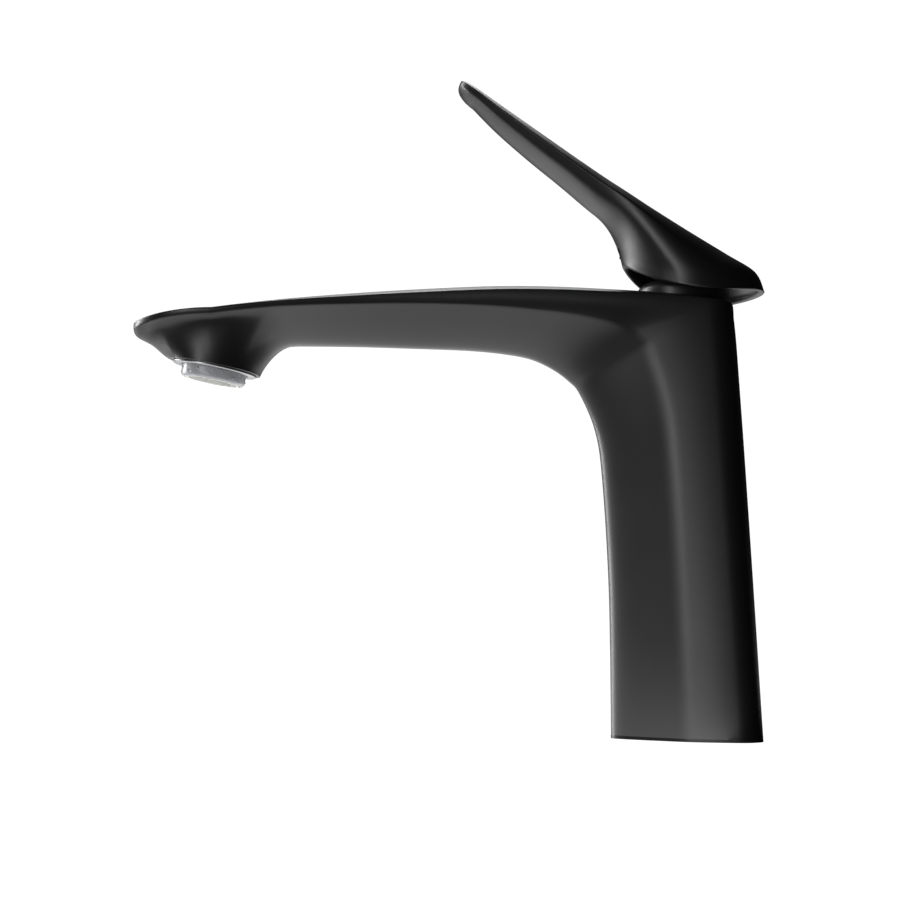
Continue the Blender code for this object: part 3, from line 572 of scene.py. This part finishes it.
def turned(name, line, matrix, finish, sides=128, sharp=40):
    """Turn a closed outline about Z with geometry nodes: a grid wrapped round the axis."""
    tree = Tree(name + "_lathe", Sides=sides, Points=len(line), Finish=finish)
    around = tree.maths('ADD', tree.size("Sides"), 1)
    along_line = tree.maths('ADD', tree.size("Points"), 1)
    grid = tree.node('GeometryNodeMeshGrid', {}, {
        "Vertices X": around, "Vertices Y": along_line}).outputs["Mesh"]
    index = tree.node('GeometryNodeInputIndex').outputs[0]
    column = tree.maths('FLOOR', tree.maths('DIVIDE', index, along_line))
    row = tree.maths('MODULO', tree.maths('SUBTRACT', index,
                                          tree.maths('MULTIPLY', column, along_line)),
                     tree.size("Points"))
    angle = tree.maths('MULTIPLY', tree.maths('DIVIDE', column, tree.size("Sides")), math.tau)
    point = tree.node('GeometryNodeSampleIndex', {'data_type': 'FLOAT_VECTOR', 'domain': 'POINT'}, {
        "Geometry": tree.size("Geometry"), "Index": row,
        "Value": tree.node('GeometryNodeInputPosition').outputs[0]}).outputs[0]
    turn = tree.node('ShaderNodeVectorRotate', {'rotation_type': 'Z_AXIS'}, {
        "Vector": point, "Angle": angle}).outputs[0]
    moved = tree.node('GeometryNodeSetPosition', {}, {"Geometry": grid, "Position": turn})
    piece = tree.make(name, moved.outputs[0], line_mesh(line))
    return place_mesh(piece, matrix, sharp)


dome = turned("dome_cap_finished", rounded_line(DOME_LINE),
              Matrix.Translation((0, AXIS_Y, 0)), coating)
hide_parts("dome_cap")
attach(dome, "root")

# ------------------------------------------------------------------ lever
# A die-cast handle, coated like the body: a thin crowned blade that runs back and down
# into a hollow cup over the dome.  A boss inside the cup clamps the stem.

LEVER_UNDER = [(-70.9, 208.9), (-63.2, 201.1), (-52.7, 191.9), (-42.1, 183.3),
               (-33.3, 175.8), (-29.0, 172.3), (-26.2, 169.0), (-24.0, 165.0),
               (-22.5, 161.0), (-21.7, 158.2), (-21.3, 156.6)]
LEVER_TOP = [(-67.2, 213.3), (-57.7, 206.5), (-47.1, 199.0), (-36.7, 191.6),
             (-27.0, 184.9), (-19.5, 179.9), (-11.0, 174.2), (0.5, 166.9),
             (13.5, 159.0), (22.6, 153.3), (25.6, 146.9)]
LEVER_HALF_WIDTH = [9.6, 11.4, 12.9, 14.1, 15.2, 16.3, 17.8, 19.8, 21.6, 22.8, 23.4]
LEVER_TO_CUP = [0, 0, 0, 0, 0.04, 0.14, 0.32, 0.58, 0.82, 0.95, 1.0]
LEVER_TIP_LENGTH = 8.0
LEVER_TILT = math.radians(-8.4)
LEVER_TIP_BLUNTNESS = 0.6
CUP_SAG = 6.0
CUP_FRONT_TAPER = 0.42
PIVOT = Vector((0, -1.0, 137.5)) * MM
UNDER_POINTS, BAND_POINTS, TOP_POINTS = 20, 9, 20
SCREW_HOLE_RADIUS = 2.3
SCREW_HEIGHT = 19.6                  # above the pivot, along the stem
BOSS_LINE = [(0.02, 17.2), (3.45, 17.2), (3.45, 17.0), (6.1, 17.0), (6.4, 17.3), (6.4, 23.0),
             (0.02, 23.0)]


def lever_half_section(under, top, half_width, cup):
    """Half a section of the lever, between a crowned blade and the cup's round rim."""
    length = math.hypot(top[0] - under[0], top[1] - under[1])
    normal = ((top[1] - under[1]) / length, -(top[0] - under[0]) / length)
    sign = 1 if normal[1] > 0 else -1

    def curve(q):
        if q < 5:                                        # underside
            across, up = 0.86 * q / 5, 0.30 * (q / 5) ** 2
        elif q < 8:                                      # side band
            across, up = 0.86 + 0.14 * (q - 5) / 3, 0.30 + 0.29 * (q - 5) / 3
        else:                                            # crowned top
            t = (q - 8) / 5
            across, up = 1 - t, 0.59 + 0.41 * (1 - (1 - t) ** 2)
        angle = math.pi * q / 13
        ring_up = (1 - math.cos(angle)) / 2
        ring_across = math.sin(angle) * (1 - CUP_FRONT_TAPER * (1 - ring_up) ** 3)
        across += cup * (ring_across - across)
        up += cup * (ring_up - up)
        sag = -sign * CUP_SAG * cup ** 2 * math.sin(math.pi * max(up, 0) ** 0.8)
        return Vector((across * half_width,
                       under[0] + up * (top[0] - under[0]) + sag * normal[0],
                       under[1] + up * (top[1] - under[1]) + sag * normal[1]))

    corners = [(5, 0.5, 0.5), (8, 0.28, 0.22)]
    stops = [4.5 * i / UNDER_POINTS for i in range(UNDER_POINTS)]
    stops += [4.5 + i / 6 for i in range(6)]
    stops += [5.5 + 2.22 * i / BAND_POINTS for i in range(BAND_POINTS)]
    stops += [7.72 + i / 10 for i in range(5)]
    stops += [8.22 + 4.78 * i / TOP_POINTS for i in range(TOP_POINTS + 1)]
    return [softened(curve, corners, q) for q in stops]


def lever_sections():
    """Sections from the rounded end of the blade to the rim of the cup."""
    loops = []
    tip_under, tip_top = Vector(LEVER_UNDER[0]), Vector(LEVER_TOP[0])
    middle = tip_under * 0.15 + tip_top * 0.85
    forward = (tip_top - Vector(LEVER_TOP[1])).normalized()
    steps = 24
    for i in range(steps, 0, -1):
        angle = math.radians(88) * i / steps
        reach = forward * LEVER_TIP_LENGTH * math.sin(angle)
        shrink = math.cos(angle) ** LEVER_TIP_BLUNTNESS
        loops.append(mirrored(lever_half_section(
            middle + (tip_under - middle) * shrink + reach,
            middle + (tip_top - middle) * shrink + reach, LEVER_HALF_WIDTH[0] * shrink, 0)))
    last = len(LEVER_UNDER) - 1
    for i in range(8 * last + 1):
        station = i / 8
        loops.append(mirrored(lever_half_section(
            along(LEVER_UNDER, station), along(LEVER_TOP, station),
            along(LEVER_HALF_WIDTH, station), along(LEVER_TO_CUP, station))))
    return loops


def cup_hollow(rim):
    """Loops that turn in over the rim and run up inside the cup to its roof."""
    centre = (rim[0] + rim[len(rim) // 2]) / 2
    loops = []
    for scale, drop in ((0.990, 0.35), (0.972, 0.62), (0.950, 0.72), (0.928, 0.62),
                        (0.910, 0.35), (0.902, 0.0), (0.898, -0.5)):
        loops.append([centre + (p - centre) * scale - Vector((0, 0, drop * MM)) for p in rim])
    edge = loops[-1]
    turn = [math.atan2(p.x, centre.y - p.y) for p in edge]

    def ellipse(y, z, across, ahead, lean):
        lean = math.radians(lean)
        return [Vector((across * math.sin(a), y - ahead * math.cos(a) * math.cos(lean),
                        z - ahead * math.cos(a) * math.sin(lean))) * MM for a in turn]

    shoulder = ellipse(-0.2, 157.0, 14.6, 17.6, -14)
    roof = ellipse(-2.4, 160.6, 12.4, 13.8, -22)
    for i in range(1, 9):
        t = i / 8
        loops.append([a.lerp(b, t) for a, b in zip(edge, shoulder)])
    for i in range(1, 6):
        t = i / 5
        loops.append([a.lerp(b, t) for a, b in zip(shoulder, roof)])
    return loops


on_stem = Matrix.Translation(PIVOT) @ Matrix.Rotation(LEVER_TILT, 4, 'X')


def stem_bar(start, end, radius, height, sides=48):
    """Closed bar along the stem's fore and aft line, square to it."""
    bm = bmesh.new()
    angles = [math.tau * i / sides for i in range(sides)]
    skin(bm, [[bm.verts.new(on_stem @ (Vector((radius * math.cos(a), y,
                                               height + radius * math.sin(a))) * MM))
               for a in angles] for y in (start, end)])
    return new_piece("bar", bm, sharp=40)


bm = bmesh.new()
lever_outside = lever_sections()
lever_loops = [[bm.verts.new(p) for p in loop]
               for loop in lever_outside + cup_hollow(lever_outside[-1])]
skin(bm, lever_loops)
lever = new_piece("lever_handle_finished", bm, sharp=60)
cut_away(lever, stem_bar(-8, -40, SCREW_HOLE_RADIUS, SCREW_HEIGHT))
bm = bmesh.new()
bm.from_mesh(lever.data)
skin(bm, [[bm.verts.new(on_stem @ (Vector((r * math.cos(a), r * math.sin(a), z)) * MM))
           for a in [math.tau * i / 48 for i in range(48)]] for r, z in BOSS_LINE])
bm.to_mesh(lever.data)
bm.free()
lever.data.materials.append(coating)
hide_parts("lever_handle")
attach(lever, "lever")

# ------------------------------------------------------------------ set screw and plug
# A steel grub screw through the front of the cup grips the stem; a small plastic plug,
# flush with the coating, hides its hole.

dress(steel, "set_screw")
dress(moulded_plastic("black_moulded_plastic", (0.012, 0.012, 0.012), 0.38), "index_plug")

# ------------------------------------------------------------------ aerator
# A threaded ring closes the mouth.  Inside it a nozzle of smoky clear plastic tilts on a
# ball seat; a white moulded grid with honeycomb cells fills the nozzle's end.

def smoky_plastic():
    """Tinted clear plastic, slightly frosted, that lets some light through."""
    finish = Finish("smoky_clear_plastic", (0.58, 0.59, 0.62), 0.28, IOR=1.46,
                    Transmission_Weight=0.35)
    haze = finish.noise(2.5 * MM, 3)
    scuff = finish.noise(0.25 * MM, 2)
    finish.set("Base Color", finish.blend(haze, (0.50, 0.51, 0.54), (0.68, 0.69, 0.71)))
    finish.set("Roughness", 0.22 + haze * 0.16)
    finish.bump(scuff, 0.01 * MM, 0.5)
    return finish.material


smoky = smoky_plastic()
bright_ring = turned_metal("brushed_ring", (0.34, 0.34, 0.35), 0.30)
mouth_place = Matrix.Translation(MOUTH_CENTRE) @ Matrix.Rotation(MOUTH_TILT, 4, 'X')
RING_LINE = [(11.05, -0.6), (11.35, -0.9), (13.6, -0.9), (13.9, -0.65), (13.9, -0.3),
             (12.25, -0.3), (12.25, 6.4), (8.6, 6.4), (8.6, 5.2), (11.05, 5.2)]
ring = turned("aerator_ring_finished", RING_LINE, mouth_place, bright_ring)
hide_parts("aerator_housing")
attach(ring, "root")
dress(rubber, "aerator_washer")
dress(steel, "inlet_screen")

NOZZLE_RADIUS = 10.7
ball = [(NOZZLE_RADIUS * math.cos(math.radians(a)),
         0.3 + NOZZLE_RADIUS * math.sin(math.radians(a))) for a in (-6.4, -3, 0, 4, 8, 12, 18)]
NOZZLE_LINE = ([(7.6, -3.7), (9.3, -3.7), (9.3, -4.5), (9.4, -4.6), (9.7, -4.6), (9.95, -4.45),
                (10.5, -3.95), (10.62, -3.7), (10.65, -2.4)] + ball + [(8.6, 4.2), (7.6, 4.2)])
nozzle = turned("swivel_nozzle_finished", NOZZLE_LINE, mouth_place, smoky)


def grip_nubs(count, height, radius, start):
    """Small moulded grips round the nozzle, for turning it with wet fingers."""
    tree = Tree("grip_nubs", Count=count, Radius=radius * MM, Height=height * MM,
                Size=0.45 * MM, Start=start, Finish=smoky)
    circle = tree.node('GeometryNodeMeshCircle', {}, {"Vertices": tree.size("Count"),
                                                      "Radius": tree.size("Radius")})
    turned_round = tree.node('GeometryNodeTransform', {}, {
        "Geometry": circle.outputs[0],
        "Translation": tree.node('ShaderNodeCombineXYZ', {}, {
            "Z": tree.size("Height")}).outputs[0],
        "Rotation": tree.node('ShaderNodeCombineXYZ', {}, {"Z": tree.size("Start")}).outputs[0]})
    nub = tree.node('GeometryNodeMeshIcoSphere', {}, {"Radius": tree.size("Size"),
                                                      "Subdivisions": 3})
    spread = tree.node('GeometryNodeInstanceOnPoints', {}, {
        "Points": turned_round.outputs[0], "Instance": nub.outputs[0]})
    return tree.make("grip_nubs_%d" % count, spread.outputs[0], line_mesh([(0, 0)]))


def absorb(piece, details, matrix, sharp):
    """Move the small details to their place and make them part of a piece's mesh."""
    bm = bmesh.new()
    bm.from_mesh(piece.data)
    for detail in details:
        detail.data.transform(matrix)
        bm.from_mesh(detail.data)
        bpy.data.objects.remove(detail)
    bm.to_mesh(piece.data)
    bm.free()
    piece.data.shade_smooth()
    piece.data.set_sharp_from_angle(angle=math.radians(sharp))


absorb(nozzle, [grip_nubs(8, -2.0, 10.55, math.pi / 8), grip_nubs(8, -3.1, 10.5, 0.0)],
       mouth_place, 40)
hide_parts("swivel_nozzle")
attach(nozzle, "nozzle")


ROW_CELLS = 17
ROW_WIDTH = 0.0184
ROWS_DEPTH = 0.01593


def honeycomb_grid():
    """The spray face: a rim and a web of hexagonal cells cut to a round outline."""
    tree = Tree("honeycomb", Pitch=1.15 * MM, Cell_Radius=0.66 * MM, Wall=0.07 * MM,
                Depth=0.9 * MM, Face_Radius=7.8 * MM, Finish=white_plastic)
    rows = tree.node('GeometryNodeMeshGrid', {}, {
        "Size X": ROW_WIDTH, "Size Y": ROWS_DEPTH, "Vertices X": ROW_CELLS,
        "Vertices Y": ROW_CELLS})
    index = tree.node('GeometryNodeInputIndex').outputs[0]
    odd = tree.maths('MODULO', index, 2)
    shift = tree.maths('MULTIPLY', odd, tree.maths('MULTIPLY', tree.size("Pitch"), 0.5))
    staggered = tree.node('GeometryNodeSetPosition', {}, {
        "Geometry": rows.outputs[0],
        "Offset": tree.node('ShaderNodeCombineXYZ', {}, {"X": shift}).outputs[0]})
    far = tree.node('ShaderNodeVectorMath', {'operation': 'LENGTH'}, {
        0: tree.node('GeometryNodeInputPosition').outputs[0]}).outputs["Value"]
    outside = tree.maths('GREATER_THAN', far, tree.size("Face_Radius"))
    inside = tree.node('GeometryNodeDeleteGeometry', {'domain': 'POINT'}, {
        "Geometry": staggered.outputs[0], "Selection": outside})
    cell = tree.node('GeometryNodeCurvePrimitiveCircle', {}, {
        "Resolution": 6, "Radius": tree.size("Cell_Radius")})
    bar = tree.node('GeometryNodeCurvePrimitiveQuadrilateral', {}, {
        "Width": tree.size("Wall"), "Height": tree.size("Depth")})
    wall = tree.node('GeometryNodeCurveToMesh', {}, {
        "Curve": cell.outputs[0], "Profile Curve": bar.outputs[0]})
    web = tree.node('GeometryNodeInstanceOnPoints', {}, {
        "Points": inside.outputs[0], "Instance": wall.outputs[0]})
    return tree.make("honeycomb_cells", web.outputs[0], line_mesh([(0, 0)]))


CELL_HEIGHT = -4.25
GRID_LINE = [(0.02, -3.9), (8.2, -3.9), (8.2, -4.65), (8.35, -4.7), (8.9, -4.7), (9.0, -4.6),
             (9.0, -3.8), (7.3, -3.7), (7.3, -2.2), (0.02, -2.2)]
grid = turned("spray_grid_finished", GRID_LINE, mouth_place, white_plastic)
absorb(grid, [honeycomb_grid()],
       mouth_place @ Matrix.Translation((0, 0, CELL_HEIGHT * MM)), 35)
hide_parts("spray_grid")
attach(grid, "nozzle")
dress(white_plastic, "flow_regulator")

# ------------------------------------------------------------------ camera, lights, floor
# A plain pale floor and background that light nothing themselves; tall boxes light the
# column, cards on the floor light the undersides, and one low box reaches below the floor.

CAMERA_PLACE = (0.640, -0.0783, 0.0438)
CAMERA_LENS = 77.55
CAMERA_SHIFT = 0.125
CAMERA_RISE = 1.26                   # degrees above the level
BOX_AIM = (0, -0.05, 0.10)

camera_data = bpy.data.cameras.new("camera")
camera = bpy.data.objects.new("camera", camera_data)
bpy.context.scene.collection.objects.link(camera)
camera_data.sensor_width = 36
camera_data.lens = CAMERA_LENS
camera_data.shift_y = CAMERA_SHIFT
camera.location = CAMERA_PLACE
camera.rotation_euler = (math.radians(90 + CAMERA_RISE), 0, math.radians(90))
bpy.context.scene.camera = camera


def soft_box(name, place, target, size, power):
    """A rectangular lamp turned towards a point."""
    data = bpy.data.lights.new(name, 'AREA')
    data.shape, data.size, data.size_y = 'RECTANGLE', size[0], size[1]
    data.energy = power
    lamp = bpy.data.objects.new(name, data)
    bpy.context.scene.collection.objects.link(lamp)
    lamp.location = place
    lamp.rotation_euler = (Vector(target) - Vector(place)).to_track_quat('-Z', 'Y').to_euler()
    lamp.visible_camera = False
    return lamp


soft_box("main_box", (0.92, -0.80, 0.30), BOX_AIM, (0.14, 1.0), 4.5)
soft_box("nose_box", (-0.56, -1.11, 0.30), BOX_AIM, (0.25, 1.0), 13)
soft_box("top_box", (-0.90, -0.05, 1.0), BOX_AIM, (0.6, 0.6), 4)
soft_box("low_card", (-0.65, -0.1, 0.001), (-0.65, -0.1, 1.0), (1.0, 1.2), 4)
soft_box("spout_card", (-0.10, -0.14, 0.001), (-0.10, -0.14, 1.0), (0.32, 0.30), 0.5)
soft_box("corner_box", (1.10, -0.50, -0.12), (0, -0.02, 0.13), (0.35, 0.25), 1.4)

bm = bmesh.new()
bmesh.ops.create_grid(bm, x_segments=2, y_segments=2, size=6)
floor = new_piece("floor", bm)
floor.location.z = -0.0002
pale = Finish("pale_floor", (0.10, 0.10, 0.10), 0.9)
pale.set("Emission Color", (1, 1, 1, 1))
pale.set("Emission Strength", 1.05)
floor.data.materials.append(pale.material)
floor.visible_glossy = floor.visible_diffuse = floor.visible_shadow = False

world = bpy.data.worlds.new("studio")
bpy.context.scene.world = world
world.use_nodes = True
tree = world.node_tree
tree.nodes.remove(tree.nodes["Background"])
ray = tree.nodes.new('ShaderNodeLightPath')
seen = tree.nodes.new('ShaderNodeBackground')
felt = tree.nodes.new('ShaderNodeBackground')
either = tree.nodes.new('ShaderNodeMixShader')
seen.inputs["Color"].default_value = (1, 1, 1, 1)
seen.inputs["Strength"].default_value = 1.05
felt.inputs["Color"].default_value = (0.01, 0.01, 0.01, 1)
tree.links.new(ray.outputs["Is Camera Ray"], either.inputs[0])
tree.links.new(felt.outputs[0], either.inputs[1])
tree.links.new(seen.outputs[0], either.inputs[2])
tree.links.new(either.outputs[0], tree.nodes["World Output"].inputs["Surface"])
bpy.context.scene.view_settings.view_transform = 'Standard'
